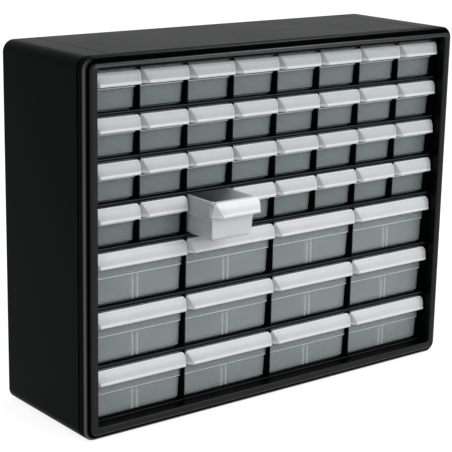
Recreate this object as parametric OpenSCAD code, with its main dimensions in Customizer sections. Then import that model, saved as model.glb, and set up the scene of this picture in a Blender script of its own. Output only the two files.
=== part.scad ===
// Small-parts cabinet: a moulded casing around a crate of shelves and dividers,
// with rows of narrow and wide pull-out drawers.
// X is the width, the drawers face -Y, Z is up; the origin is the middle of the base.

/* [Drawer grid] */
// Number of narrow drawers across
small_cols = 8; // [2:2:8]
// Number of rows of narrow drawers
small_rows = 4; // [1:1:4]
// Number of wide drawers across
large_cols = 4; // [1:1:4]
// Number of rows of wide drawers
large_rows = 3; // [1:1:3]
// Width of one narrow drawer bay
small_pitch = 59.8; // [50:0.1:70]
// Height of one narrow drawer row
small_row_h = 46.3; // [40:0.1:60]
// Height of one wide drawer row
large_row_h = 62.6; // [50:0.1:80]
// How much less high the lowest row is
bottom_less = 2.9; // [0:0.1:5]

/* [Casing] */
// Depth from the front frame to the back panel
cabinet_d = 160; // [140:1:260]
// Width of the front frame on each side of the drawers
side_border = 14.8; // [13:0.1:24]
// Height of the front frame above the drawers
top_border = 10.8; // [10.5:0.1:24]
// How far the frame's opening reaches above the highest row
top_sill = 1.9; // [0:0.1:4]
// Height of the front frame below the drawers
bottom_border = 15.2; // [13:0.1:24]
// Outer radius of the four long edges
corner_r = 13; // [12.5:0.5:20]
// Thickness of the casing panels
skin = 2.5; // [1.5:0.5:4]
// How far each side panel folds over the top and the bottom
wrap = 38; // [24:1:60]
// Gap left between neighbouring casing panels
seam = 0.6; // [0.2:0.1:1.2]

/* [Shelves and dividers] */
// Thickness of a shelf
shelf_t = 1.5; // [1.2:0.1:1.8]
// Height of the lip along a shelf's front edge
nose_h = 2.8; // [2.6:0.1:4]
// Thickness of the lip along a shelf's front edge
nose_t = 2; // [1.5:0.5:3]
// Thickness of a divider
divider_t = 1.2; // [1:0.1:2]
// Play in the slots where shelves and dividers cross
lap_play = 0.2; // [0.1:0.05:0.4]
// Width of the small notch in a shelf's lip at each divider
notch_w = 1.2; // [0.8:0.1:2]
// Depth of that notch
notch_d = 0.5; // [0.3:0.1:0.8]

/* [Front frame] */
// Thickness of the front frame, from the shelves' front edges to its crest
frame_t = 16.5; // [15:0.5:22]
// Radius of the round along its outer edge
bead_r = 4; // [3:0.5:5]
// Width of the flat band between that round and the raised lip
bead_flat = 2; // [1:0.5:2.5]
// How far its raised lip stands in front of that band
lip_rise = 5; // [2:0.5:6]
// Width of the slope from that band up to the lip's crest
lip_slope = 3; // [1.5:0.5:3.5]
// Width of the flat crest of the lip
lip_crest = 0.6; // [0.2:0.1:0.9]
// How far the lip falls back from its crest to the opening
lip_fall = 1.2; // [0.4:0.2:2]
// Corner radius of the opening
opening_r = 3; // [1:0.5:4]
// Width and depth of the shadow groove behind the frame
groove = 0.8; // [0.4:0.1:1.2]

/* [Drawers] */
// Distance from the shelves' front edges back to the drawers' fronts
drawer_recess = 4.5; // [4:0.5:8]
// Clearance behind a drawer
rear_gap = 12; // [2:0.5:30]
// Clearance above a narrow drawer
small_headroom = 0.7; // [0.5:0.1:5]
// Clearance above a wide drawer
large_headroom = 1.9; // [0.5:0.1:6]
// Clearance between a drawer's rim and the divider beside it
side_gap = 1.6; // [0.8:0.1:3]
// Clearance under a drawer and between stops
gap = 0.3; // [0.2:0.1:0.5]
// Wall thickness of a drawer
wall = 1.5; // [1.2:0.1:2]
// How much narrower a drawer is on each side below its ledge
ledge_in = 1; // [0.6:0.1:1.5]
// How much each wall leans in from the ledge to the floor
draft = 0.8; // [0.4:0.1:1.2]
// Height of a narrow drawer's upper part
small_ledge = 19.7; // [18.5:0.1:24]
// Height of a wide drawer's upper part
large_ledge = 28.4; // [18.5:0.1:36]
// Bevel along a drawer's bottom edges
bottom_bevel = 3; // [1:0.5:5]

/* [Finger hood] */
// How far the hood stands out from a drawer's front
hood_out = 8.4; // [7:0.1:10]
// How far the hood's top edge stands out from a drawer's front
hood_rim = 4.8; // [3:0.1:6]
// How far the hood hangs down from a drawer's rim
hood_drop = 16.2; // [12:0.2:18]
// Thickness of the hood
hood_t = 1.4; // [1:0.1:2]
// Clearance between the hood's ends and the dividers beside it
hood_side = 0.3; // [0.2:0.1:0.6]
// How far the hood's ends reach back along the drawer's sides
hood_wing = 4; // [2:0.1:8]
// How far the bead along the hood's lower edge stands out
hood_bead = 0.8; // [0.4:0.1:1.4]
// Height of that bead
hood_bead_h = 3; // [1:0.1:4]

/* [Catches and ribs] */
// Length of a stop catch on a drawer's side wall
catch_l = 8; // [4:1:14]
// Distance from a drawer's back to the front of its catches
catch_setback = 16; // [15:1:60]
// Clearance between a catch and the shelf above it, behind the lip that stops it
catch_play = 0.6; // [0.3:0.1:0.7]
// Clear width between a wide drawer's pair of divider ribs
rib_gap = 4.6; // [2:0.1:10]
// Width of a divider rib
rib_w = 1.5; // [1:0.1:2.5]
// How far a divider rib stands out of the wall
rib_d = 2; // [1:0.5:4]
// How far the ribs stop below the ledge
rib_short = 1; // [0:0.5:6]

/* [Panels and back] */
// Thickness of the stiffening ribs inside the top and bottom panels
stiffener_t = 2; // [1.5:0.5:3]
// Distance of the first and last stiffening rib from the panel's ends
stiffener_inset = 14; // [8:1:30]
// Number of stiffening ribs in the top and in the bottom panel
stiffener_n = 3; // [2:1:5]
// Radius of a wall keyhole's entry
keyhole_r = 5; // [4:0.5:6]
// Width of a keyhole's hanging slot
keyhole_slot_w = 5; // [3:0.5:7]
// Height of the hanging slot's top above the entry's centre
keyhole_slot_l = 12; // [8:1:16]
// Distance of the keyholes below the top
keyhole_drop = 30; // [24:1:60]

/* [Pulled-out drawer] */
// Row of the narrow drawer that stands open
open_row = 4; // [1:1:4]
// Column of the narrow drawer that stands open
open_col = 3; // [1:1:8]
// How far that drawer is pulled out
open_pull = 47; // [0:0.5:100]

/* [Hidden] */
$fn = 64;
eps = 0.01; // overlap where two shapes of one solid are joined
past = 1;   // how far a cutting shape runs past what it cuts

grid_w = small_cols * small_pitch;
large_pitch = grid_w / large_cols;
cabinet_w = grid_w + 2 * side_border;
opening_z0 = bottom_border;
large_rows_h = large_rows * large_row_h - bottom_less;
opening_z1 = opening_z0 + large_rows_h + small_rows * small_row_h + top_sill;
cabinet_h = opening_z1 + top_border;

// A level is the middle of a shelf's lip; the shelf's top is flush with the lip's top
plate_up = nose_h / 2;
base_level = opening_z0 - plate_up;
mid_level = base_level + large_rows_h;
top_level = mid_level + small_rows * small_row_h;
shelf_levels = concat(
    [for (row = [1 : small_rows]) top_level - row * small_row_h],
    [for (row = [1 : 1 : large_rows - 1]) mid_level - row * large_row_h]);

back_y = cabinet_d / 2;
panel_y = back_y - skin;    // inner face of the back panel
grid_y = frame_t - back_y;  // front edges of the shelves
drawer_y = grid_y + drawer_recess;
lap_y = (grid_y + panel_y) / 2;
inner_x = cabinet_w / 2 - skin;
keyhole_x = (small_cols - 1) / 2 * small_pitch;

rim_side = divider_t / 2 + side_gap;
hood_end = divider_t / 2 + hood_side;
drawer_d = panel_y - rear_gap - drawer_y;
small_h = small_row_h - nose_h - gap - small_headroom;
large_h = large_row_h - nose_h - gap - large_headroom;
catch_h = nose_h - shelf_t - catch_play; // how far a catch overlaps the lip that stops it
hood_bulge = hood_out - hood_rim;
hood_r = (hood_bulge * hood_bulge + hood_drop * hood_drop) / (2 * hood_bulge);

shell = [0.10, 0.11, 0.12];
crate = [0.06, 0.07, 0.07];
clear = [0.84, 0.87, 0.87, 0.62];

function drawer_name(kind, row, col) = str(kind, "_drawer_r", row, "_c", col);
function bay_x(col, pitch) = -grid_w / 2 + (col - 0.5) * pitch;
// Dividers between bays stand on the bays' edges, the outermost ones just outside them
function divider_x(k, cols) = -grid_w / 2 + k * grid_w / cols
    + (k == 0 ? -divider_t / 2 : k == cols ? divider_t / 2 : 0);

// ---- shared shapes ----

// Extrudes an X-Z outline from y0 to y1
module prism_y(y0, y1) {
    translate([0, y1, 0]) rotate([90, 0, 0]) linear_extrude(y1 - y0) children();
}

// Extrudes a Y-Z outline from x0 to x1
module prism_x(x0, x1) {
    translate([x0, 0, 0]) rotate([90, 0, 90]) linear_extrude(x1 - x0) children();
}

// A box given by its lowest and highest corners
module block(low, high) {
    translate(low) cube(high - low);
}

// Rectangle with rounded corners
module rounded_rect(x0, x1, z0, z1, r) {
    translate([x0 + r, z0]) square([x1 - x0 - 2 * r, z1 - z0]);
    translate([x0, z0 + r]) square([x1 - x0, z1 - z0 - 2 * r]);
    for (x = [x0 + r, x1 - r]) for (z = [z0 + r, z1 - r]) translate([x, z]) circle(r);
}

// Outline of the cabinet seen from the front, drawn in by an inset
module outline(inset) {
    half = cabinet_w / 2 - inset;
    rounded_rect(-half, half, inset, cabinet_h - inset, corner_r - inset);
}

// Solid with flat sides whose section changes from a at y0 to b at y1, each [x0, x1, z0, z1]
module taper_y(y0, a, y1, b) {
    intersection() {
        z0 = min(a[2], b[2]) - past;
        translate([0, 0, z0]) linear_extrude(max(a[3], b[3]) + past - z0)
            polygon([[a[0], y0], [a[1], y0], [b[1], y1], [b[0], y1]]);
        prism_x(min(a[0], b[0]) - past, max(a[1], b[1]) + past)
            polygon([[y0, a[2]], [y0, a[3]], [y1, b[3]], [y1, b[2]]]);
    }
}

// ---- casing ----

// A side panel with its folds over the top and the bottom; side is 1 for right, -1 for left
module side_panel(side) {
    color(shell) prism_y(grid_y, back_y) intersection() {
        difference() {
            outline(0);
            outline(skin);
        }
        translate([side > 0 ? cabinet_w / 2 - wrap : -cabinet_w / 2, 0]) square([wrap, cabinet_h]);
    }
}

// A flat panel between the folds, with stiffening ribs that reach from z0 to z1
module flat_panel(z, z0, z1) {
    half = cabinet_w / 2 - wrap - seam;
    first_y = grid_y + stiffener_inset;
    last_y = panel_y - stiffener_inset - stiffener_t;
    color(shell) union() {
        block([-half, grid_y, z], [half, back_y, z + skin]);
        for (i = [0 : stiffener_n - 1]) {
            y = first_y + i * (last_y - first_y) / (stiffener_n - 1);
            block([-half, y, z0], [half, y + stiffener_t, z1]);
        }
    }
}

module top_panel() {
    flat_panel(cabinet_h - skin, opening_z1, cabinet_h - skin + eps);
}

module bottom_panel() {
    flat_panel(0, skin - eps, base_level + plate_up - shelf_t);
}

// Round entry with a hanging slot above it
module keyhole() {
    slot_r = keyhole_slot_w / 2;
    circle(keyhole_r);
    translate([-slot_r, 0]) square([keyhole_slot_w, keyhole_slot_l - slot_r]);
    translate([0, keyhole_slot_l - slot_r]) circle(slot_r);
}

module back_panel() {
    color(shell) prism_y(panel_y, back_y) difference() {
        outline(skin);
        for (x = [-keyhole_x, keyhole_x]) translate([x, cabinet_h - keyhole_drop]) keyhole();
    }
}

// Section through the frame's outer edge: outwards from the corner's centre, and forwards from zero
module rim_section(h) {
    square([corner_r - bead_r, h]);
    square([corner_r, h - bead_r]);
    intersection() {
        translate([corner_r - bead_r, h - bead_r]) circle(bead_r);
        square([corner_r, h]);
    }
}

// A rounded slab as large as the cabinet's front, from y back to front_y, with its front edge rounded
module rounded_slab(front_y, y) {
    half = cabinet_w / 2 - corner_r;
    top = cabinet_h - corner_r;
    for (turn = [0 : 3])
        translate([turn == 0 || turn == 3 ? half : -half, y, turn < 2 ? top : corner_r])
            rotate([90, 0, 0]) rotate([0, 0, 90 * turn]) rotate_extrude(angle = 90) rim_section(y - front_y);
    for (side = [0, 1]) {
        mirror([side, 0, 0]) translate([half, y, corner_r])
            linear_extrude(top - corner_r) mirror([0, 1]) rim_section(y - front_y);
        translate([0, y, side ? top : corner_r]) mirror([0, 0, 1 - side])
            rotate([90, 0, -90]) linear_extrude(2 * half, center = true) rotate(90) mirror([0, 1])
                rim_section(y - front_y);
    }
    block([-half, front_y, corner_r], [half, y, top]);
}

module front_frame() {
    half = cabinet_w / 2;
    crest_y = -back_y;
    bead_y = crest_y + lip_rise;
    lip_in = bead_r + bead_flat;        // inset of the raised lip's foot
    slope_in = lip_in + lip_slope;      // inset of the crest's outer edge
    crest_in = slope_in + lip_crest;    // inset of its inner edge
    color(shell) difference() {
        union() {
            rounded_slab(bead_y, grid_y - groove);
            prism_y(grid_y - groove - eps, grid_y) outline(groove);
            intersection() {
                taper_y(crest_y, [slope_in - half, half - slope_in, slope_in, cabinet_h - slope_in],
                    bead_y + eps, [lip_in - half, half - lip_in, lip_in, cabinet_h - lip_in]);
                prism_y(crest_y, bead_y + eps) outline(lip_in);
            }
        }
        taper_y(crest_y - eps, [crest_in - half, half - crest_in, crest_in, cabinet_h - crest_in],
            crest_y + lip_fall, [-grid_w / 2, grid_w / 2, opening_z0, opening_z1]);
        prism_y(crest_y - past, grid_y + past)
            rounded_rect(-grid_w / 2, grid_w / 2, opening_z0, opening_z1, opening_r);
    }
}

// ---- crate ----

// A shelf on a level, reaching half_w to each side, with slots where it crosses dividers;
// its plate lies higher by raise, and its lip is as much taller
module shelf(level, half_w, cols, crossed, raise) {
    top = level + plate_up + raise;
    low = level + plate_up - nose_h;
    color(crate) difference() {
        union() {
            block([-half_w, grid_y, top - shelf_t], [half_w, panel_y, top]);
            block([-half_w, grid_y, low], [half_w, grid_y + nose_t, top]);
        }
        for (k = [1 : 1 : cols - 1])
            translate([divider_x(k, cols), 0, 0])
                block([-notch_w / 2, grid_y - past, low - past],
                    [notch_w / 2, grid_y + notch_d, top + past]);
        if (crossed) for (k = [0 : cols])
            translate([divider_x(k, cols), 0, 0])
                block([-divider_t / 2 - lap_play, lap_y - lap_play, top - shelf_t - past],
                    [divider_t / 2 + lap_play, panel_y + past, top + past]);
    }
}

// The dividers that stand on low_level, slotted where they cross the shelves between;
// less is missing from the lowest row's height and more is added above the highest
module dividers(low_level, cols, rows, row_h, less, more) {
    base = low_level + plate_up;
    top = base + rows * row_h - less + more - shelf_t;
    color(crate) for (k = [0 : cols]) translate([divider_x(k, cols), 0, 0]) difference() {
        block([-divider_t / 2, grid_y, base], [divider_t / 2, panel_y, top]);
        for (row = [1 : rows]) {
            shelf_top = base + row * row_h - less;
            slot_top = row < rows ? shelf_top + lap_play : top + past;
            block([-divider_t, grid_y - past, shelf_top - nose_h - lap_play],
                [divider_t, grid_y + nose_t + lap_play, slot_top]);
            if (row < rows)
                block([-divider_t, grid_y - past, shelf_top - shelf_t - lap_play], [divider_t, lap_y, slot_top]);
        }
    }
}

module top_deck() {
    shelf(top_level, grid_w / 2 + divider_t, small_cols, false, top_sill);
}

module bottom_deck() {
    shelf(base_level, grid_w / 2 + divider_t, large_cols, false, 0);
}

// Shelves are numbered from the top; the one between the narrow and the wide drawers isn't slotted
module numbered_shelf(i) {
    shelf(shelf_levels[i - 1], inner_x, i < small_rows ? small_cols : large_cols, i != small_rows, 0);
}

module small_dividers() {
    dividers(mid_level, small_cols, small_rows, small_row_h, 0, top_sill);
}

module large_dividers() {
    dividers(base_level, large_cols, large_rows, large_row_h, bottom_less, 0);
}

// ---- drawers ----
// A drawer is drawn around its bay's middle, with its front at y = 0 and its floor at z = 0

// The tapered tray below the ledge, with all its faces moved in by an inset
module tray(half_w, top_z, inset) {
    bevel_z = inset + bottom_bevel;
    side = half_w - ledge_in - inset;
    low_side = side - draft;
    front = ledge_in + inset;
    low_front = front + draft;
    back = drawer_d - front;
    low_back = back - draft;
    intersection() {
        prism_y(0, drawer_d) polygon([
            [bottom_bevel - low_side, inset], [low_side - bottom_bevel, inset], [low_side, bevel_z],
            [side, top_z], [-side, top_z], [-low_side, bevel_z]]);
        prism_x(-half_w, half_w) polygon([
            [low_front + bottom_bevel, inset], [low_back - bottom_bevel, inset], [low_back, bevel_z],
            [back, top_z], [front, top_z], [low_front, bevel_z]]);
    }
}

// An arched lip over the full width of the bay, flat on top, with closed ends that wrap round the sides
module hood(pitch, height) {
    half = pitch / 2 - hood_end;
    inner = pitch / 2 - rim_side;
    low = height - hood_drop;
    axis_y = hood_r - hood_out;
    difference() {
        intersection() {
            translate([-half, axis_y, low]) rotate([0, 90, 0]) cylinder(r = hood_r, h = 2 * half);
            block([-half, -hood_out - past, low], [half, wall / 2, height]);
        }
        intersection() {
            translate([-inner, axis_y, low]) rotate([0, 90, 0]) cylinder(r = hood_r - hood_t, h = 2 * inner);
            block([-inner, -hood_out, low - past], [inner, 0, height - hood_t]);
        }
    }
    for (x = [-half, inner])
        block([x, 0, low], [x + half - inner, hood_wing, height]);
    block([-half, -hood_out - hood_bead, low], [half, hood_t / 2 - hood_out, low + hood_bead_h]);
}

// The pairs of ribs inside the front and back walls that hold a loose cross divider
module divider_ribs(half_w, ledge_z) {
    reach = ledge_in + draft + wall + rib_d;
    intersection() {
        tray(half_w, ledge_z, wall / 2);
        for (x = [-rib_gap / 2 - rib_w, rib_gap / 2]) for (y = [0, drawer_d - reach])
            block([x, y, 0], [x + rib_w, y + reach, ledge_z - rib_short]);
    }
}

module drawer(pitch, height, ledge, headroom) {
    half_w = pitch / 2 - rim_side;
    ledge_z = height - ledge;
    catch_y = drawer_d - catch_setback;
    difference() {
        union() {
            tray(half_w, ledge_z + eps, 0);
            block([-half_w, 0, ledge_z], [half_w, drawer_d, height]);
        }
        tray(half_w, ledge_z + wall + eps, wall);
        block([wall - half_w, wall, ledge_z + wall], [half_w - wall, drawer_d - wall, height + past]);
    }
    hood(pitch, height);
    for (x = [-half_w, half_w - wall])
        block([x, catch_y, height - eps], [x + wall, catch_y + catch_l, height + headroom + catch_h]);
}

module small_drawer(row, col) {
    pull = row == open_row && col == open_col ? open_pull : 0;
    floor_z = top_level - row * small_row_h + plate_up + gap;
    color(clear) translate([bay_x(col, small_pitch), drawer_y - pull, floor_z])
        drawer(small_pitch, small_h, small_ledge, small_headroom);
}

module large_drawer(row, col) {
    less = row == small_rows + large_rows ? bottom_less : 0;
    height = large_h - less;
    floor_z = mid_level - (row - small_rows) * large_row_h + less + plate_up + gap;
    color(clear) translate([bay_x(col, large_pitch), drawer_y, floor_z]) union() {
        drawer(large_pitch, height, large_ledge, large_headroom);
        divider_ribs(large_pitch / 2 - rim_side, height - large_ledge);
    }
}

side_panel(-1);  // left_side_panel
side_panel(1);  // right_side_panel
top_panel();
bottom_panel();
back_panel();
front_frame();
top_deck();
bottom_deck();
for (i = [1 : len(shelf_levels)])
    numbered_shelf(i);
small_dividers();
large_dividers();
for (row = [1 : small_rows]) for (col = [1 : small_cols])
    small_drawer(row, col);
for (row = [small_rows + 1 : small_rows + large_rows]) for (col = [1 : large_cols])
    large_drawer(row, col);
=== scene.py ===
import math

import bmesh
import bpy
from mathutils import Matrix, Vector


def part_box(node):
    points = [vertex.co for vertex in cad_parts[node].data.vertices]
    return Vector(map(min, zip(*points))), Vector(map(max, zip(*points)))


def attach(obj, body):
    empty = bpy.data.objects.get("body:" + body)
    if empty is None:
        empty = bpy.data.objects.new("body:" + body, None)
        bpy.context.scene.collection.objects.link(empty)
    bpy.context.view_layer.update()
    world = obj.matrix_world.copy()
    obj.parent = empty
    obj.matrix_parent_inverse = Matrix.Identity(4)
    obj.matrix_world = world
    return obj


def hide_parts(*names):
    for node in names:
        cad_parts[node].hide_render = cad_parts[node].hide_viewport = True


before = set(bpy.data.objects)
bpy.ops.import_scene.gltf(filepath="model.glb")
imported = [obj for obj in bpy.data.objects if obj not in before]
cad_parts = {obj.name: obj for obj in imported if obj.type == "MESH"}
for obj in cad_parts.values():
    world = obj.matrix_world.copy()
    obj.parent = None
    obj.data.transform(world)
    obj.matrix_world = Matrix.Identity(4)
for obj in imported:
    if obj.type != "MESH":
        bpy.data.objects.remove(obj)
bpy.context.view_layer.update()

mm = 0.001
reliefDepth = 0.2 * mm
sharpFrom = 40.0    # edges of a greater angle than this are softened, in degrees


# viewpoint

viewpoint = {
    "turn": 0.66476,         # radians, from straight ahead towards the left side
    "rise": 0.25441,
    "roll": 0.01936,
    "target": (-16.539, 0.0, 180.736),
    "distance": 1678.876,
    "focal": 1484.414,       # in the same units as the view's width
    "viewWidth": 452,
    "sensor": 36.0,
    "clip": (0.05, 100.0),   # metres
}


def setCamera(s):
    a, e, r = s["turn"], s["rise"], s["roll"]
    ahead = Vector((math.sin(a) * math.cos(e), math.cos(a) * math.cos(e), -math.sin(e)))
    right = Vector((math.cos(a), -math.sin(a), 0.0))
    up = right.cross(ahead)
    right, up = math.cos(r) * right + math.sin(r) * up, math.cos(r) * up - math.sin(r) * right
    place = (Vector(s["target"]) - s["distance"] * ahead) * mm
    lens = bpy.data.cameras.new("viewCamera")
    lens.sensor_width = s["sensor"]
    lens.lens = s["focal"] * s["sensor"] / s["viewWidth"]
    lens.clip_start, lens.clip_end = s["clip"]
    holder = bpy.data.objects.new("viewCamera", lens)
    bpy.context.scene.collection.objects.link(holder)
    turned = Matrix((right, up, -ahead)).transposed().to_4x4()
    holder.matrix_world = Matrix.Translation(place) @ turned
    bpy.context.scene.camera = holder


setCamera(viewpoint)
print("camera placed")


# shader writing

class Wire:
    def __init__(self, finish, socket):
        self.finish = finish
        self.socket = socket

    def math(self, operation, first, second):
        return self.finish.add("ShaderNodeMath", {"operation": operation}, {0: first, 1: second})

    def __add__(self, other):
        return self.math("ADD", self, other)

    def __radd__(self, other):
        return self.math("ADD", other, self)

    def __sub__(self, other):
        return self.math("SUBTRACT", self, other)

    def __rsub__(self, other):
        return self.math("SUBTRACT", other, self)

    def __mul__(self, other):
        return self.math("MULTIPLY", self, other)

    def __rmul__(self, other):
        return self.math("MULTIPLY", other, self)

    def atLeast(self, other):
        return self.math("MAXIMUM", self, other)

    def between(self, low, high):  # 0 at low, 1 at high, smooth
        return self.finish.add(
            "ShaderNodeMapRange", {"interpolation_type": "SMOOTHSTEP"},
            {"Value": self, "From Min": low, "From Max": high, "To Min": 0.0, "To Max": 1.0})


class Finish:
    def __init__(self, owner):
        owner.use_nodes = True
        self.owner = owner
        self.tree = owner.node_tree
        self.tree.nodes.clear()

    def add(self, kind, settings=None, inputs=None, out=0):
        node = self.tree.nodes.new(kind)
        for key, value in (settings or {}).items():
            setattr(node, key, value)
        for key, value in (inputs or {}).items():
            self.feed(node.inputs[key], value)
        return Wire(self, node.outputs[out]) if len(node.outputs) else None

    def feed(self, socket, value):
        if isinstance(value, Wire):
            self.tree.links.new(value.socket, socket)
        elif socket.type == "RGBA" and len(value) == 3:
            socket.default_value = (*value, 1.0)
        else:
            socket.default_value = value

    def blend(self, amount, first, second):
        return self.add("ShaderNodeMix", {"data_type": "RGBA"}, {0: amount, 6: first, 7: second}, 2)

    def grain(self, scale, detail, rough):
        place = self.add("ShaderNodeTexCoord", out="Object")
        inputs = {"Scale": scale, "Detail": detail, "Roughness": rough, "Vector": place}
        return self.add("ShaderNodeTexNoise", None, inputs, "Fac")

    def layer(self, name):  # a value that the mesh carries at its corners
        return self.add("ShaderNodeAttribute", {"attribute_name": name}, out="Fac")

    def relief(self, height, strength):
        return self.add(
            "ShaderNodeBump", None, {"Strength": strength, "Distance": reliefDepth, "Height": height}, "Normal")

    def plastic(self, inputs):
        shader = self.add("ShaderNodeBsdfPrincipled", None, inputs)
        self.add("ShaderNodeOutputMaterial", None, {"Surface": shader})
        return self.owner


def newFinish(name):
    return Finish(bpy.data.materials.new(name))


# finishes

casingFinish = {
    "colour": (0.0007, 0.0012, 0.0014),
    "worn": (0.0016, 0.0022, 0.0025),
    "wornCloud": (0.35, 0.75),     # from where to where in the cloud it turns worn
    "rough": 0.38,
    "specular": 0.0148,
    "tint": (0.88, 0.97, 1.0),
    "cloud": (9.0, 4.0, 0.6),      # scale, detail and roughness of the noise
    "grit": (1500.0, 2.0, 0.5),
    "roughCloud": 0.10,            # how much the roughness varies
    "roughGrit": 0.06,
    "relief": 0.10,
}
frameFinish = {
    "colour": (0.0008, 0.0010, 0.0011),
    "rough": 0.33,
    "specular": 0.0025,
    "glossRough": 0.30,
    "glossIor": 1.6,
    "glossCloud": (0.9, 0.2),
    "cloud": (12.0, 3.0, 0.55),
    "grit": (1700.0, 2.0, 0.5),
    "roughCloud": 0.08,
    "relief": 0.08,
}
crateFinish = {
    "colour": (0.0012, 0.0020, 0.0020),
    # painted highlight along the shelves' rounded front edges, varied by the cloud
    "edge": (0.110, 0.140, 0.136),
    "edgeCloud": (0.4, 0.6),
    "rough": 0.48,
    "specular": 0.05,
    "cloud": (20.0, 3.0, 0.6),
    "grit": (1300.0, 2.0, 0.5),
    "roughCloud": 0.12,
    "relief": 0.10,
}
drawerFinish = {
    "colour": (0.50, 0.58, 0.58),
    "dense": (0.78, 0.81, 0.83),   # where the plastic is thick, as in the hood
    # painted highlight along rims, corners and the hood's bead, which is also made more opaque
    "edge": (0.95, 0.96, 0.97),
    "rough": 0.36,
    "film": 0.25,                  # opacity of one surface
    "denseFilm": 0.60,
    "edgeFilm": 0.80,
    "filmCloud": 0.14,
    "specular": 0.45,
    "cloud": (26.0, 3.0, 0.55),
    "frost": (900.0, 2.0, 0.6),
    "roughCloud": 0.16,
    "relief": 0.02,
}


def makeCasingBlack(s):
    f = newFinish("casingBlack")
    cloud = f.grain(*s["cloud"])
    grit = f.grain(*s["grit"])
    return f.plastic({
        "Base Color": f.blend(cloud.between(*s["wornCloud"]), s["colour"], s["worn"]),
        "Roughness": s["rough"] + s["roughCloud"] * (cloud - 0.5) + s["roughGrit"] * (grit - 0.5),
        "Specular IOR Level": s["specular"],
        "Specular Tint": s["tint"],
        "Normal": f.relief(grit, s["relief"]),
    })


def makeFrameBlack(s):
    f = newFinish("frameBlack")
    cloud = f.grain(*s["cloud"])
    least, more = s["glossCloud"]
    return f.plastic({
        "Base Color": s["colour"],
        "Roughness": s["rough"] + s["roughCloud"] * (cloud - 0.5),
        "Specular IOR Level": s["specular"],
        # coat weight from the painted sheen: painted highlights on the rounds and the lip, painted shade in the dull
        # groove
        "Coat Weight": f.layer("paintedSheen") * (least + more * cloud),
        "Coat Roughness": s["glossRough"],
        "Coat IOR": s["glossIor"],
        "Normal": f.relief(f.grain(*s["grit"]), s["relief"]),
    })


def makeCrateBlack(s):
    f = newFinish("crateBlack")
    cloud = f.grain(*s["cloud"])
    least, more = s["edgeCloud"]
    return f.plastic({
        # the edge layer carries painted highlights on the shelves' front edges
        "Base Color": f.blend(f.layer("edge") * (least + more * cloud), s["colour"], s["edge"]),
        "Roughness": s["rough"] + s["roughCloud"] * (cloud - 0.5),
        "Specular IOR Level": s["specular"],
        "Normal": f.relief(f.grain(*s["grit"]), s["relief"]),
    })


def makeDrawerClear(s):
    f = newFinish("drawerClear")
    cloud = f.grain(*s["cloud"])
    edge = f.layer("edge")
    dense = f.layer("dense")
    film = s["film"] + (s["denseFilm"] - s["film"]) * dense
    return f.plastic({
        # the edge layer carries painted highlights that turn the plastic whiter and more opaque; dense is where the
        # plastic is thick
        "Base Color": f.blend(edge, f.blend(dense, s["colour"], s["dense"]), s["edge"]),
        "Roughness": s["rough"] + s["roughCloud"] * (cloud - 0.5),
        "Alpha": film + edge * (s["edgeFilm"] - film) + s["filmCloud"] * (cloud - 0.5),
        "Specular IOR Level": s["specular"],
        "Normal": f.relief(f.grain(*s["frost"]), s["relief"]),
    })


casingBlack = makeCasingBlack(casingFinish)
frameBlack = makeFrameBlack(frameFinish)
crateBlack = makeCrateBlack(crateFinish)
drawerClear = makeDrawerClear(drawerFinish)
print("finishes made")


# mesh helpers, all in millimetres

def ring(a0, a1, b0, b1, radius, steps):  # rounded rectangle, counterclockwise from its right side
    corners = ((a1 - radius, b1 - radius), (a0 + radius, b1 - radius),
               (a0 + radius, b0 + radius), (a1 - radius, b0 + radius))
    points = []
    for quarter, (a, b) in enumerate(corners):
        for step in range(steps + 1):
            turn = math.pi / 2 * (quarter + step / steps)
            points.append((a + radius * math.cos(turn), b + radius * math.sin(turn)))
    return points


class Sheet:  # collects vertices and faces of one piece
    def __init__(self):
        self.mesh = bmesh.new()
        self.edge = self.mesh.verts.layers.float.new("edge")
        self.dense = self.mesh.verts.layers.float.new("dense")
        self.paintedSheen = self.mesh.verts.layers.float.new("paintedSheen")

    def row(self, points, edge=0.0, dense=0.0):
        made = []
        for point in points:
            vertex = self.mesh.verts.new(Vector(point) * mm)
            vertex[self.edge] = edge
            vertex[self.dense] = dense
            made.append(vertex)
        return made

    def paint(self, row, layer, values):
        for vertex, value in zip(row, values):
            vertex[layer] = value
        return row

    def join(self, first, second):
        count = len(first)
        for i in range(count):
            j = (i + 1) % count
            self.mesh.faces.new((first[i], first[j], second[j], second[i]))

    def cap(self, vertices):
        self.mesh.faces.new(vertices)

    def loft(self, rows, closed=False):
        for first, second in zip(rows, rows[1:]):
            self.join(first, second)
        if closed:
            self.join(rows[-1], rows[0])

    def box(self, low, high, edge=0.0):
        loops = []
        for z in (low[2], high[2]):
            loops.append(self.row([(low[0], low[1], z), (high[0], low[1], z),
                                   (high[0], high[1], z), (low[0], high[1], z)], edge))
        self.loft(loops)
        self.cap(loops[0][::-1])
        self.cap(loops[1])

    def data(self, name, smooth):
        bmesh.ops.recalc_face_normals(self.mesh, faces=self.mesh.faces)
        made = bpy.data.meshes.new(name)
        self.mesh.to_mesh(made)
        self.mesh.free()
        for polygon in made.polygons:
            polygon.use_smooth = True
        made.set_sharp_from_angle(angle=math.radians(smooth))
        return made


def putPiece(name, data, body, nodes, finish, offset=(0, 0, 0), soften=None):
    piece = bpy.data.objects.new(name, data)
    bpy.context.scene.collection.objects.link(piece)
    piece.location = Vector(offset) * mm
    if not data.materials:
        data.materials.append(finish)
    if soften:
        modifier = piece.modifiers.new("softEdges", "BEVEL")
        modifier.width = soften * mm
        modifier.segments = 2
        modifier.limit_method = "ANGLE"
        modifier.angle_limit = math.radians(sharpFrom)
    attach(piece, body)
    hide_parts(*nodes)
    return piece


def dressNode(name, finish):  # a solid that is shown as it is
    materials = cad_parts[name].data.materials
    materials.clear()
    materials.append(finish)


def nodeBox(name):
    low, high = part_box(name)
    return low / mm, high / mm


# casing

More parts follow.
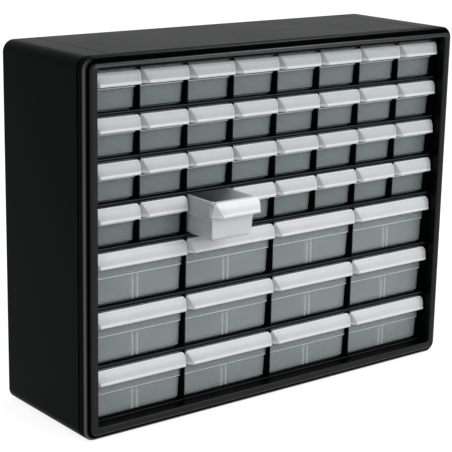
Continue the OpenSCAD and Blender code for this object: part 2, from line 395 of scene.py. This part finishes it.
casing = {
    "corner": 13.0,
    "skin": 2.5,
    "steps": 12,             # per quarter turn
    "soften": 0.45,
    "smooth": 35.0,          # edges up to this angle are shaded smooth, in degrees
    "ribThick": 2.0,         # stiffening ribs inside the top and the bottom
    "ribInset": 14.0,
    "ribSink": 0.2,          # how far a rib runs into its panel
}


def sidePanelData(s, side):
    low, high = nodeBox("right_side_panel" if side > 0 else "left_side_panel")
    outer, fold = (high.x, low.x) if side > 0 else (low.x, high.x)
    reach = []
    for radius, inset in ((s["corner"], 0.0), (s["corner"] - s["skin"], s["skin"])):
        edge = abs(outer) - inset
        line = [(abs(fold), high.z - inset)]
        for middle, start in ((high.z - s["corner"], 90.0), (low.z + s["corner"], 0.0)):
            for step in range(s["steps"] + 1):
                turn = math.radians(start - 90.0 * step / s["steps"])
                line.append((abs(outer) - s["corner"] + radius * math.cos(turn), middle + radius * math.sin(turn)))
        line.append((abs(fold), low.z + inset))
        reach.append(line)
    outline = reach[0] + reach[1][::-1]
    sheet = Sheet()
    rows = [sheet.row([(side * x, y, z) for x, z in outline]) for y in (low.y, high.y)]
    sheet.loft(rows)
    sheet.cap(rows[0])
    sheet.cap(rows[1])
    return sheet.data("sidePanel", s["smooth"])


def slabData(name, nodeName, s, up):  # flat panel with stiffening ribs on its inner face
    low, high = nodeBox(nodeName)
    z0, z1 = (high.z - s["skin"], high.z) if up else (low.z, low.z + s["skin"])
    ribLow, ribHigh = (low.z, z0 + s["ribSink"]) if up else (z1 - s["ribSink"], high.z)
    first = low.y + s["ribInset"]
    last = high.y - s["skin"] - s["ribInset"] - s["ribThick"]
    sheet = Sheet()
    sheet.box((low.x, low.y, z0), (high.x, high.y, z1))
    for y in (first, (first + last) / 2, last):
        sheet.box((low.x, y, ribLow), (high.x, y + s["ribThick"], ribHigh))
    return sheet.data(name, s["smooth"])


def makeCasing(s):
    for side, word in ((-1, "left"), (1, "right")):
        putPiece(word + "SidePanel", sidePanelData(s, side), "cabinet", [word + "_side_panel"],
                 casingBlack, soften=s["soften"])
    for word, up in (("top", True), ("bottom", False)):
        data = slabData(word + "Panel", word + "_panel", s, up)
        putPiece(word + "Panel", data, "cabinet", [word + "_panel"], casingBlack, soften=s["soften"])
    dressNode("back_panel", casingBlack)


makeCasing(casing)
print("casing panels made")


# front frame

frontFrame = {
    "corner": 13.0,
    "bead": 4.0,             # radius of the outer edge
    "band": 2.0,             # flat band between that edge and the raised lip
    "slope": 3.4,
    "rise": 5.0,
    "fall": 1.2,
    "groove": 0.8,           # how deep the groove behind the frame is
    "grooveWide": 2.0,
    "soften": 0.3,
    "opening": (-239.2, 239.2, 15.2, 387.2),     # left, right, bottom, top
    "openingCorner": 3.0,
    "openingRound": 1.5,
    "openingSteps": 6,
    "steps": 10,             # per quarter turn
    "smooth": 50.0,
    "sidePaintedSheen": (0.025, 0.0),   # painted sheen: coat weight that paints highlights at the sides and the bottom, and along the top
    "beadPaintedSheen": (               # the same painted sheen, round the outer edge to the front, with a painted highlight in the middle of the round
        (0.03, 0.03), (0.20, 0.08), (1.0, 0.12), (1.4, 0.07), (1.15, 0.02), (0.60, 0.0), (0.12, 0.0),
        (0.0, 0.0)),
    "slopePaintedSheen": (              # painted sheen from the band up to the crest; the band and the lip's foot stay dull as painted shade
        (0.08, 0.0), (0.20, 0.06), (0.26, 0.12), (0.30, 0.20), (0.34, 0.32), (0.38, 0.44), (0.40, 0.46),
        (0.40, 0.48), (0.34, 0.50)),
    # painted sheen on the lip's face and in the opening's throat
    "facePaintedSheen": (0.33, 0.80),
    "throatPaintedSheen": (0.14, 0.50),
}


def frontFrameData(s):
    low, high = nodeBox("front_frame")
    half, tall = high.x, high.z
    back, crestY = high.y, low.y
    beadY = crestY + s["rise"]

    sheet = Sheet()

    def paintSheen(row, paintedSheen):  # the painted sheen's second value holds where the outline faces up, where the light falls differently
        for i, vertex in enumerate(row):
            turn = math.pi / 2 * (i // (s["steps"] + 1) + i % (s["steps"] + 1) / s["steps"])
            up = max(0.0, math.sin(turn)) ** 2
            vertex[sheet.paintedSheen] = paintedSheen[0] + (paintedSheen[1] - paintedSheen[0]) * up
        return row

    def outlineRow(inset, y, paintedSheen=(0.0, 0.0)):
        points = ring(-half + inset, half - inset, inset, tall - inset, s["corner"] - inset, s["steps"])
        return paintSheen(sheet.row([(x, y, z) for x, z in points]), paintedSheen)

    def openingRow(grow, y, paintedSheen=(0.0, 0.0)):
        x0, x1, z0, z1 = s["opening"]
        points = ring(x0 - grow, x1 + grow, z0 - grow, z1 + grow, s["openingCorner"] + grow, s["steps"])
        return paintSheen(sheet.row([(x, y, z) for x, z in points]), paintedSheen)

    g = s["groove"]
    e = s["soften"]
    rimY = back - s["grooveWide"]
    rows = [openingRow(0.0, back), outlineRow(g, back), outlineRow(g, rimY), outlineRow(e, rimY)]
    rows += [outlineRow(0.0, rimY - e), outlineRow(0.0, rimY - 3 * e, s["sidePaintedSheen"])]
    rows.append(outlineRow(0.0, beadY + s["bead"], s["sidePaintedSheen"]))
    for step, paintedSheen in enumerate(s["beadPaintedSheen"], 1):
        turn = math.pi / 2 * step / len(s["beadPaintedSheen"])
        inset = s["bead"] * (1 - math.cos(turn))
        rows.append(outlineRow(inset, beadY + s["bead"] * (1 - math.sin(turn)), paintedSheen))
    foot = s["bead"] + s["band"]
    rows += [outlineRow(foot - e, beadY), outlineRow(foot, beadY - e)]
    for step, paintedSheen in enumerate(s["slopePaintedSheen"], 1):  # the lip swells from its foot to the crest
        turn = math.pi / 2 * step / len(s["slopePaintedSheen"])
        inset = foot + s["slope"] * (1 - math.cos(turn))
        rows.append(outlineRow(inset, beadY - e - (s["rise"] - e) * math.sin(turn), paintedSheen))
    r = s["openingRound"]
    fallY = crestY + s["fall"] - 0.5 * e
    rows.append(openingRow(r + 3 * e, fallY - 0.5 * e, s["facePaintedSheen"]))
    for step in range(1, s["openingSteps"] + 1):
        share = step / s["openingSteps"]
        turn = math.pi / 2 * share
        paintedSheen = [a + (b - a) * share for a, b in zip(s["facePaintedSheen"], s["throatPaintedSheen"])]
        rows.append(openingRow(r * (1 - math.sin(turn)), fallY + r * (1 - math.cos(turn)), paintedSheen))
    rows.append(openingRow(0.0, fallY + 2 * r, s["throatPaintedSheen"]))
    sheet.loft(rows, closed=True)
    return sheet.data("frontFrame", s["smooth"])


putPiece("frontFrame", frontFrameData(frontFrame), "cabinet", ["front_frame"], frameBlack)
print("front frame made")


# crate

crateSizes = {
    "plate": 1.5,
    "lipThick": 2.0,
    "notch": (1.2, 0.5),     # width and depth
    "soften": 0.3,
    "smooth": 50.0,
    "gridHalf": 239.2,       # half the width of all the bays
    "bays": {"top_deck": 8, "shelf_1": 8, "shelf_2": 8, "shelf_3": 8, "shelf_4": 4, "shelf_5": 4, "shelf_6": 4,
             "bottom_deck": 4},
}


def shelfData(name, s, bays):
    low, high = nodeBox(name)
    top, under, front, back = high.z, low.z, low.y, high.y
    grid = s["gridHalf"]
    notchHalf = s["notch"][0] / 2
    stops = [low.x]
    for k in range(1, bays):
        middle = -grid + 2 * grid * k / bays
        stops += [middle - notchHalf, middle + notchHalf]
    stops.append(high.x)
    r = s["soften"]
    sheet = Sheet()

    def section(x, cut):  # the lip's rounded front, then the plate behind it
        y = front + cut
        # the third value is the lightness of a painted highlight along the rounded front edges
        profile = [
            (y + r, top, 1.0), (y + 0.3 * r, top - 0.3 * r, 1.0), (y, top - r, 0.8), (y, top - 2.4 * r, 0.0),
            (y, under + 2.4 * r, 0.0), (y, under + r, 0.4),
            (y + 0.3 * r, under + 0.3 * r, 0.5), (y + r, under, 0.4),
            (front + s["lipThick"], under, 0.0), (front + s["lipThick"], top - s["plate"], 0.0),
            (back, top - s["plate"], 0.0), (back, top, 0.0), (y + 3.4 * r, top, 0.0)]
        made = sheet.row([(x, b, c) for b, c, edge in profile])
        return sheet.paint(made, sheet.edge, [edge for b, c, edge in profile])

    rows = []
    for i, x in enumerate(stops):
        if i == 0 or i == len(stops) - 1:
            rows.append(section(x, 0.0))
        elif i % 2 == 1:     # a notch starts
            rows += [section(x, 0.0), section(x, s["notch"][1])]
        else:
            rows += [section(x, s["notch"][1]), section(x, 0.0)]
    sheet.loft(rows)
    sheet.cap(rows[0])
    sheet.cap(rows[-1])
    return sheet.data(name, s["smooth"])


def makeCrate(s):
    for name, bays in s["bays"].items():
        putPiece(name.replace("_", "") + "Plate", shelfData(name, s, bays), "cabinet", [name],
                 crateBlack)
    dressNode("small_dividers", crateBlack)
    dressNode("large_dividers", crateBlack)


makeCrate(crateSizes)
print("crate made")


# drawers

tray = {
    "side": 2.2,             # from the bay's edge to the tray's rim
    "wall": 1.5,
    "draft": 0.8,
    "depth": 124.5,
    "corner": 1.0,
    "leastCorner": 0.3,
    "cornerSteps": 4,
    "clearFrom": 0.8,        # the side walls turn clearer from here behind the front corner, as painted shade in the dark gaps between closed drawers
    "sideShadeDense": -0.4,
    # painted light on a lit drawer's side walls and front corners
    "sidePaintedLight": 0.35,
    "cornerPaintedLight": 0.35,
    "catch": (108.5, 8.0, 0.7),   # from the front, length, height over the headroom
    "catchIn": 0.1,
    "catchSink": 0.4,
    # catchEdge and ribEdge make the catches and ribs lighter and more opaque with the same painted highlight as the
    # edges
    "catchEdge": 0.3,
    "ribPlaces": (-3.8, 2.3),
    "ribWide": 1.5,
    "ribReach": 2.0,
    "ribSink": 0.6,
    "ribFloor": 0.2,
    "ribShort": 1.0,
    "ribEdge": 0.7,
    "smooth": 32.0,
    # the outline's levels: in, up, lightness of a painted highlight along an edge
    "foot": (                # from the bottom and the tapered lower wall
        (3.0, 0.0, 0.0), (2.55, 0.12, 0.3), (2.16, 0.75, 0.0), (0.25, 2.34, 0.0), (0.02, 3.2, 0.2),
        (-0.05, 4.4, 0.0)),
    "ledge": (               # from the ledge's height and the upper wall
        (1.0, -0.5, 0.0), (1.0, 0.0, 0.4), (0.15, 0.0, 1.0), (0.0, 0.25, 1.0), (0.0, 0.7, 0.8), (0.0, 1.1, 0.0)),
    "rim": ((0.0, -1.2, 0.0), (0.0, -0.35, 1.0), (0.3, 0.0, 1.0)),
    "rimInside": ((-0.2, 0.0, 1.0), (0.0, -0.3, 0.7), (0.0, -1.2, 0.0)),
}
hood = {
    "side": 0.9,
    "drop": 16.2,
    "thick": 1.4,
    "wing": 4.0,             # how far the ends reach back beside the tray
    "rim": 4.8,
    "corner": 4.0,           # rounding of the upper corners
    "shadeDense": -0.7,      # the shaded top of a closed drawer's hood is clearer
    "shadeUnder": 1.5,       # how much further the shade reaches inside
    "hipWide": 8.5,          # the left end leans back from here
    "hipTop": 0.8,
    "hipSlack": 0.3,
    "creaseGap": 0.3,
    "endGap": 1.2,
    "insideGap": 0.2,
    "thinFrom": 0.3,         # the inside is a wall's thickness back where it stands in by more than this
    "frontGap": 0.02,        # what the inside keeps from the tray's front
    "seatIn": 0.3,           # the top's underside ends this far inside the tray's front
    "wingTop": 0.6,
    "face": (                # down from the top, out from the tray's front, lightness of a painted highlight along an edge
        (0.0, 4.0, 0.0), (0.0, 4.5, 0.2), (0.15, 4.75, 1.0), (0.5, 5.05, 1.0), (1.2, 5.6, 0.8),
        (2.4, 6.3, 0.3), (3.8, 7.0, 0.1), (5.4, 7.65, 0.0), (7.0, 8.1, 0.0), (8.8, 8.4, 0.0), (11.0, 8.5, 0.0),
        (12.7, 8.5, 0.0)),
    "bead": (
        (13.1, 8.65, 0.5), (13.5, 9.05, 0.9), (14.1, 9.2, 1.0), (15.3, 9.2, 0.8), (15.9, 9.05, 1.0),
        (16.2, 8.6, 0.8)),
    "under": ((16.2, 7.2, 0.4), (13.0, 7.1, 0.0), (8.8, 7.0, 0.0), (5.4, 6.2, 0.0), (2.9, 5.0, 0.0)),
    "hipShares": ((0.03, 0.12), (0.16, 0.4, 0.7, 0.97)),    # columns with a wing, then open ones
    "frontShares": (0.0, 0.25, 0.5, 0.75, 0.97),
    "endLight": (0.3, 2.0),  # lightness of a painted highlight on the last column before the right end, and from how far down
    "rightEnd": ((0.5, 0.1, 0.9), (0.1, 0.4, 0.9), (0.0, 0.9, 0.3)),    # in from the end, back, lightness of a painted highlight
}
narrowDrawer = {"pitch": 59.8, "tall": 42.5, "ledge": 19.7, "headroom": 0.7, "ribs": False}
wideDrawer = {"pitch": 119.6, "tall": 57.6, "ledge": 28.4, "headroom": 1.9, "ribs": True}
# dense and light hold for the tray and the hood: dense is how thick the plastic is, and light is painted light that
# lightens the rows less shade falls on. shade is how deep a hood's shaded top reaches. The drawer that stands out in
# the light is lit, with painted light that also paints its tray denser, and a node goes to the first kind that its
# name fits.
drawerKinds = {
    "lit": {**narrowDrawer, "nodes": "small_drawer_r4_c3", "dense": (0.7, 1.0), "paintedLight": (0.5, 0.95), "shade": -1.0},
    "first": {**narrowDrawer, "nodes": "small_drawer_r1", "dense": (0.0, 0.85), "paintedLight": (0.0, 0.0), "shade": 1.7},
    "fourth": {**narrowDrawer, "nodes": "small_drawer_r4", "dense": (0.0, 0.85), "paintedLight": (0.0, 0.38), "shade": 0.4},
    "small": {**narrowDrawer, "nodes": "small_drawer", "dense": (0.0, 0.80), "paintedLight": (0.0, 0.22), "shade": 0.9},
    "lowest": {**wideDrawer, "tall": 54.7, "nodes": "large_drawer_r7", "dense": (0.2, 1.0), "paintedLight": (0.0, 0.50),
               "shade": 0.1},
    "large": {**wideDrawer, "nodes": "large_drawer", "dense": (0.2, 1.0), "paintedLight": (0.0, 0.42), "shade": 0.1},
}


def addTray(sheet, kind, s):
    half = kind["pitch"] / 2 - s["side"]
    tall = kind["tall"]
    ledge = tall - kind["ledge"]
    wall, depth = s["wall"], s["depth"]
    bevel, ledgeIn = s["foot"][0][0], s["ledge"][0][0]
    dense, paintedLight = kind["dense"][0], kind["paintedLight"][0]
    sideEnd = 2 * (s["cornerSteps"] + 1)     # the outline's points up to the left side wall

    def level(inset, z, corner, edge=0.0, rim=False):
        radius = max(corner, s["leastCorner"])
        points = ring(-half + inset, half - inset, inset, depth - inset, radius, s["cornerSteps"])
        start = inset + radius + s["clearFrom"]
        left, right = (points[sideEnd - 1][0], start), (points[0][0], start)
        points = points[:sideEnd] + [left] + points[sideEnd:] + [right]
        row = sheet.row([(x, y, z) for x, y in points], max(edge, paintedLight), dense)
        # a lit drawer gets painted light on its side walls and front corners; on a closed one the side walls and the
        # rim's highlight turn clear as painted shade, so the dark behind shows
        for vertex, (x, y) in zip(row, points):
            side = y > start - 0.01
            if paintedLight > 0.0:
                if side:
                    vertex[sheet.edge] = max(edge, paintedLight * s["sidePaintedLight"])
                elif abs(x) > half - inset - corner:
                    vertex[sheet.edge] = min(1.0, vertex[sheet.edge] + s["cornerPaintedLight"])
            elif side:
                vertex[sheet.dense] = s["sideShadeDense"]
            elif rim:
                vertex[sheet.dense] = s["sideShadeDense"]
                vertex[sheet.edge] = 0.0
        return row

    def levels(table, inset, z, corner, rim=False):
        return [level(inset + inward, z + up, corner, edge, rim and edge > 0.0) for inward, up, edge in table]

    low = ledgeIn + s["draft"]
    c = s["corner"]
    outer = levels(s["foot"], low, 0.0, c) + levels(s["ledge"], 0.0, ledge, c) + levels(s["rim"], 0.0, tall, c, True)
    c = s["corner"] - wall
    inner = levels(s["rimInside"], wall, tall, c, True)
    inner += [level(wall, ledge + wall, c), level(wall + ledgeIn, ledge + wall, c), level(wall + low, bevel + wall, c),
              level(wall + low + bevel, wall, c)]
    sheet.loft(outer + inner)
    sheet.cap(outer[0][::-1])
    sheet.cap(inner[-1])

    start, length, over = s["catch"]
    for x in (-half + s["catchIn"], half - wall):
        sheet.box((x, start, tall - s["catchSink"]),
                  (x + wall - s["catchIn"], start + length, tall + kind["headroom"] + over), s["catchEdge"])
    if kind["ribs"]:
        front = wall + low
        back = depth - front
        for x in s["ribPlaces"]:
            for y0, y1 in ((front - s["ribSink"], front + s["ribReach"]), (back - s["ribReach"], back + s["ribSink"])):
                sheet.box((x, y0, wall - s["ribFloor"]), (x + s["ribWide"], y1, ledge - s["ribShort"]), s["ribEdge"])


def addHood(sheet, kind, s, tray):
    half = kind["pitch"] / 2 - s["side"]
    inside = kind["pitch"] / 2 - tray["side"] - s["insideGap"]
    top = kind["tall"]
    beadTop = s["bead"][0][0]
    bulge = s["face"][-1][1]
    seat = 0.5 * tray["wall"]    # the flat top ends inside the tray's front wall
    endLight, endLightFrom = s["endLight"]

    def trim(down):  # how far the end stands in near the top
        rise = max(0.0, s["corner"] - down)
        return s["corner"] - math.sqrt(s["corner"] ** 2 - rise ** 2)

    def leftX(down):
        return -half + trim(down)

    def creaseX(down):
        return leftX(down) + s["hipTop"] + (s["hipWide"] - s["hipTop"]) * min(1.0, down / beadTop)

    def hipOut(down):  # the left end's edge leans back to the tray's front
        return s["rim"] * (1.0 - down / s["drop"])

    def leftEnd(down, out):
        return leftX(down), hipOut(down) - s["hipSlack"]

    def hip(share):
        def place(down, out):
            x = leftX(down) + share * (creaseX(down) - leftX(down))
            end = hipOut(down)
            return x, end + share * (min(out, bulge) - end)
        return place

    def middle(share):
        def place(down, out):
            x0, x1 = creaseX(down) + s["creaseGap"], half - trim(down) - s["endGap"]
            return x0 + share * (x1 - x0), out
        return place

    def rightEnd(gap, back):
        return lambda down, out: (half - trim(down) - gap, out - back)

    def within(x):
        return min(max(x, -inside), inside)

    def addColumn(place, wing, paintedLight=0.0):
        x, out = place(0.0, s["face"][0][1])
        points = [(x, s["wing"] if wing else seat, top, 0.0)]
        for down, out, edge in s["face"] + s["bead"]:
            x, out = place(down, out)
            # a column's edges carry painted highlights, and the kind's painted light lightens the whole hood face
            points.append((x, -out, top - down, max(edge, paintedLight if down > endLightFrom else 0.0, kind["paintedLight"][1])))
        outside = len(points)
        for down, out, edge in s["under"]:
            x, spot = place(down, out)
            if wing:
                points.append((x, s["wing"], top - down, 0.0))
            else:
                thin = s["thick"] if spot < out - s["thinFrom"] else 0.0
                points.append((within(x), -max(s["frontGap"], min(spot, out) - thin), top - down, edge))
        down = s["wingTop"] if wing else s["thick"]
        x, out = place(down, 0.0)
        points.append((x, s["wing"], top - down, 0.0) if wing else (within(x), s["seatIn"], top - down, 0.0))
        row = sheet.row([point[:3] for point in points], dense=kind["dense"][1])
        sheet.paint(row, sheet.edge, [point[3] for point in points])
        for i, vertex in enumerate(row):
            if top - points[i][2] < kind["shade"] + (s["shadeUnder"] if i >= outside else 0.0):
                vertex[sheet.dense] = s["shadeDense"]
                vertex[sheet.edge] = 0.0
        return row

    hipWings, hipOpen = s["hipShares"]
    rows = [addColumn(leftEnd, True)] + [addColumn(hip(share), True) for share in hipWings]
    rows += [addColumn(hip(share), False) for share in hipOpen]
    rows += [addColumn(middle(share), False) for share in s["frontShares"]]
    rows.append(addColumn(middle(1.0), True, endLight))
    rows += [addColumn(rightEnd(gap, back), True, paintedLight) for gap, back, paintedLight in s["rightEnd"]]
    sheet.loft(rows)
    sheet.cap(rows[0])
    sheet.cap(rows[-1][::-1])


def drawerData(name, kind):
    sheet = Sheet()
    addTray(sheet, kind, tray)
    addHood(sheet, kind, hood, tray)
    return sheet.data(name + "Drawer", tray["smooth"])


def makeDrawers():
    reach = max(out for down, out, edge in hood["bead"])
    done = []
    for name, kind in drawerKinds.items():
        data = drawerData(name, kind)
        for node in sorted(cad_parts):
            if node.startswith(kind["nodes"]) and node not in done:
                done.append(node)
                low, high = nodeBox(node)
                offset = ((low.x + high.x) / 2, low.y + reach, low.z)
                putPiece(node.replace("_drawer", "Drawer"), data, "moving_" + node, [node],
                         drawerClear, offset)


makeDrawers()
print("drawers made")


# floor, world and lamps

studio = {
    "floorSize": 12.0,
    "floorGlow": 0.84,
    "floorColour": (0.34, 0.34, 0.34),
    "ambient": 0.64,
    "lamps": [  # name, place, aim, width, height, power
        ("frontPanel", (1.1, -2.6, 1.5), (0.0, 0.0, 0.2), 2.2, 1.8, 48.0),
        ("upperPanel", (1.35, 0.25, 2.1), (0.0, 0.0, 0.3), 0.7, 0.7, 24.0),
    ],
}


def seenDirectly(f):  # 1 for what the camera sees, also in a mirror or through glass
    wires = [f.add("ShaderNodeLightPath", out=name)
             for name in ("Is Camera Ray", "Is Glossy Ray", "Is Transmission Ray")]
    return wires[0].atLeast(wires[1]).atLeast(wires[2])


def makeStudio(s):
    size = s["floorSize"]
    sheet = bmesh.new()
    bmesh.ops.create_grid(sheet, x_segments=4, y_segments=4, size=size)
    data = bpy.data.meshes.new("floor")
    sheet.to_mesh(data)
    sheet.free()
    floor = bpy.data.objects.new("floor", data)
    bpy.context.scene.collection.objects.link(floor)
    f = newFinish("floorPale")
    seen = seenDirectly(f)
    glow = f.add("ShaderNodeEmission", None, {"Color": (1.0, 1.0, 1.0), "Strength": seen * s["floorGlow"]})
    paint = f.add("ShaderNodeBsdfDiffuse", None, {"Color": s["floorColour"]})
    both = f.add("ShaderNodeAddShader", None, {0: glow, 1: paint})
    f.add("ShaderNodeOutputMaterial", None, {"Surface": both})
    data.materials.append(f.owner)

    world = bpy.data.worlds.new("studioWorld")
    bpy.context.scene.world = world
    w = Finish(world)
    white = w.add("ShaderNodeBackground", None, {"Color": (1.0, 1.0, 1.0), "Strength": 1.0})
    soft = w.add("ShaderNodeBackground", None, {"Color": (1.0, 1.0, 1.0), "Strength": s["ambient"]})
    mixed = w.add("ShaderNodeMixShader", None, {0: seenDirectly(w), 1: soft, 2: white})
    w.add("ShaderNodeOutputWorld", None, {"Surface": mixed})

    for name, place, aim, width, height, power in s["lamps"]:
        lamp = bpy.data.lights.new(name, "AREA")
        lamp.shape = "RECTANGLE"
        lamp.size = width
        lamp.size_y = height
        lamp.energy = power
        holder = bpy.data.objects.new(name, lamp)
        bpy.context.scene.collection.objects.link(holder)
        holder.visible_camera = False
        holder.location = place
        holder.rotation_mode = "QUATERNION"
        holder.rotation_quaternion = (Vector(aim) - Vector(place)).to_track_quat("-Z", "Y")


makeStudio(studio)
bpy.context.scene.view_settings.view_transform = "Standard"
print("studio made")
